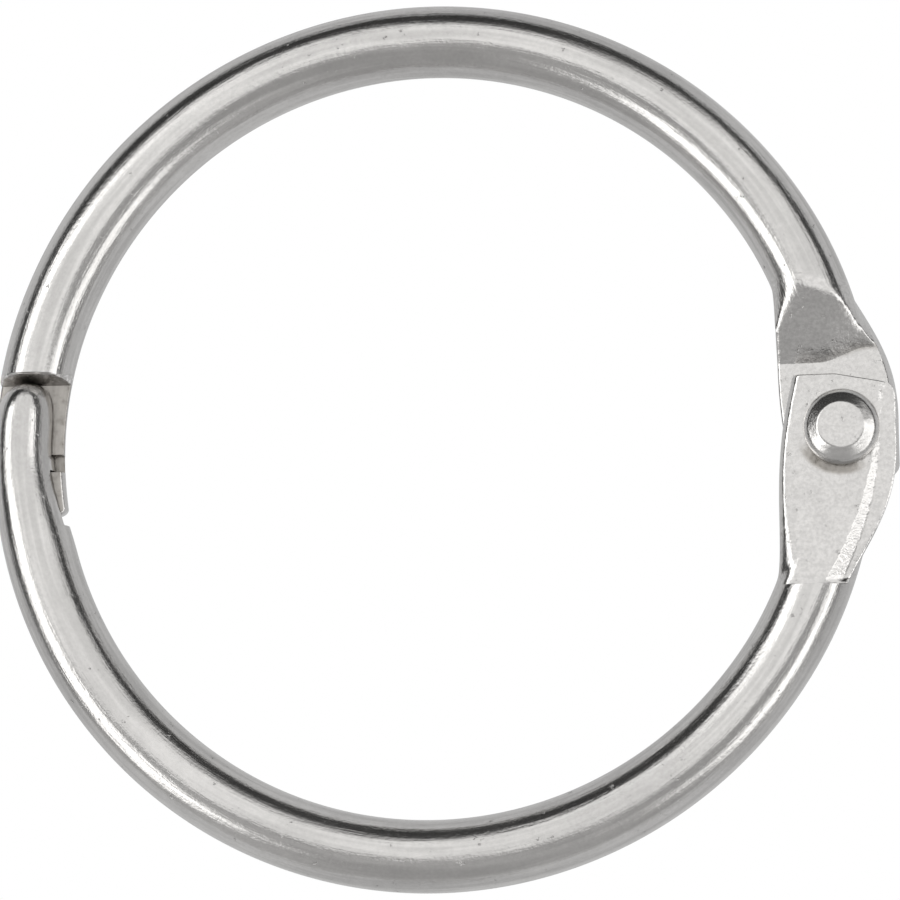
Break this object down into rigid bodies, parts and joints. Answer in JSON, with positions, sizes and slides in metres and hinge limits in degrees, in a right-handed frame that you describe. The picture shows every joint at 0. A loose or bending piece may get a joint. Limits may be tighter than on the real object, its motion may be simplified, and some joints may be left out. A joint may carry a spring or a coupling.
{
  "type": "hinged loose-leaf ring",
  "caption": "Hinged wire ring that opens on a riveted joint and snaps shut with interlocking hooked tongues, for holding keys, tags or punched cards.",
  "frame": {"origin": "centre of the closed ring, in the middle plane of the wire", "axes": "+Z is the ring's axis and points to the front, +X points from the ring's centre to the hinge rivet, and +Y points to the upper half"},
  "size_m": [0.031, 0.0302, 0.0032],
  "materials": {
    "nickel_wire": "bright nickel plate with drawing streaks, fine pits and rubbed edges",
    "nickel_rivet": "nickel plate, matt on the flat of the head and bright on its cone"
  },
  "bodies": {
    "upper_half": {"upper_half_ring": "nickel_wire"},
    "rivet": {"hinge_rivet": "nickel_rivet"},
    "lower_half": {"lower_half_ring": "nickel_wire"}
  },
  "joints": [
    {"name": "latch_flex", "type": "hinge", "parent": "upper_half", "child": "rivet", "pos_m": [0.01402, 0, 0], "axis": [0, 1, 0], "range_deg": [0, 1.4], "stiffness_Nm_per_rad": 1.5},
    {"name": "ring_hinge", "type": "hinge", "parent": "rivet", "child": "lower_half", "pos_m": [0.01402, 0, 0], "axis": [0, 0, 1], "range_deg": [0, 123]}
  ]
}
